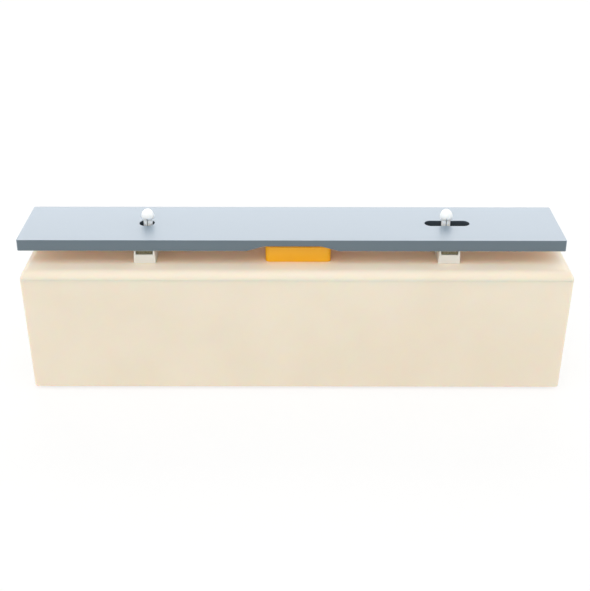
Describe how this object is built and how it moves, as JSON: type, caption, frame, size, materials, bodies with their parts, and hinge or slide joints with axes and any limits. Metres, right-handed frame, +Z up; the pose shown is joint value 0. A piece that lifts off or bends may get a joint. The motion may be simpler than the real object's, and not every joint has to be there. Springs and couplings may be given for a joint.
{
  "type": "chime bar",
  "caption": "Tuned metal bar on felt-lined rails over a hollow plastic resonator box, held sideways by ball-headed pins and lifting straight off.",
  "frame": {"origin": "middle of the model's footprint, on the plane that the four feet stand on", "axes": "+X along the bar to the end with the slot, +Z up, and the player stands at -Y"},
  "size_m": [0.3116, 0.0724, 0.0995],
  "materials": {
    "bar_lacquer": "satin blue-grey lacquer on aluminium alloy",
    "cream_plastic": "moulded, fine matt texture",
    "orange_plastic": "moulded, half gloss",
    "white_plastic": "moulded, half gloss",
    "olive_felt": "pressed wool felt",
    "grey_rubber": "matt",
    "zinc_steel": "zinc plated"
  },
  "bodies": {
    "resonator": {"resonator_tub": "cream_plastic", "resonator_lid": "cream_plastic", "mouth_collar": "orange_plastic", "support_left": "white_plastic", "support_right": "white_plastic", "felt_left": "olive_felt", "felt_right": "olive_felt", "pin_left": "white_plastic", "pin_right": "white_plastic", "pin_screw_left": "zinc_steel", "pin_screw_right": "zinc_steel", "lid_screw_front_left": "zinc_steel", "lid_screw_front_right": "zinc_steel", "lid_screw_back_left": "zinc_steel", "lid_screw_back_right": "zinc_steel", "foot_front_left": "grey_rubber", "foot_front_right": "grey_rubber", "foot_back_left": "grey_rubber", "foot_back_right": "grey_rubber"},
    "bar": {"tone_bar": "bar_lacquer"}
  },
  "joints": [
    {"name": "bar_lift", "type": "slide", "parent": "resonator", "child": "bar", "axis": [0, 0, 1], "range_m": [0, 0.018]}
  ]
}
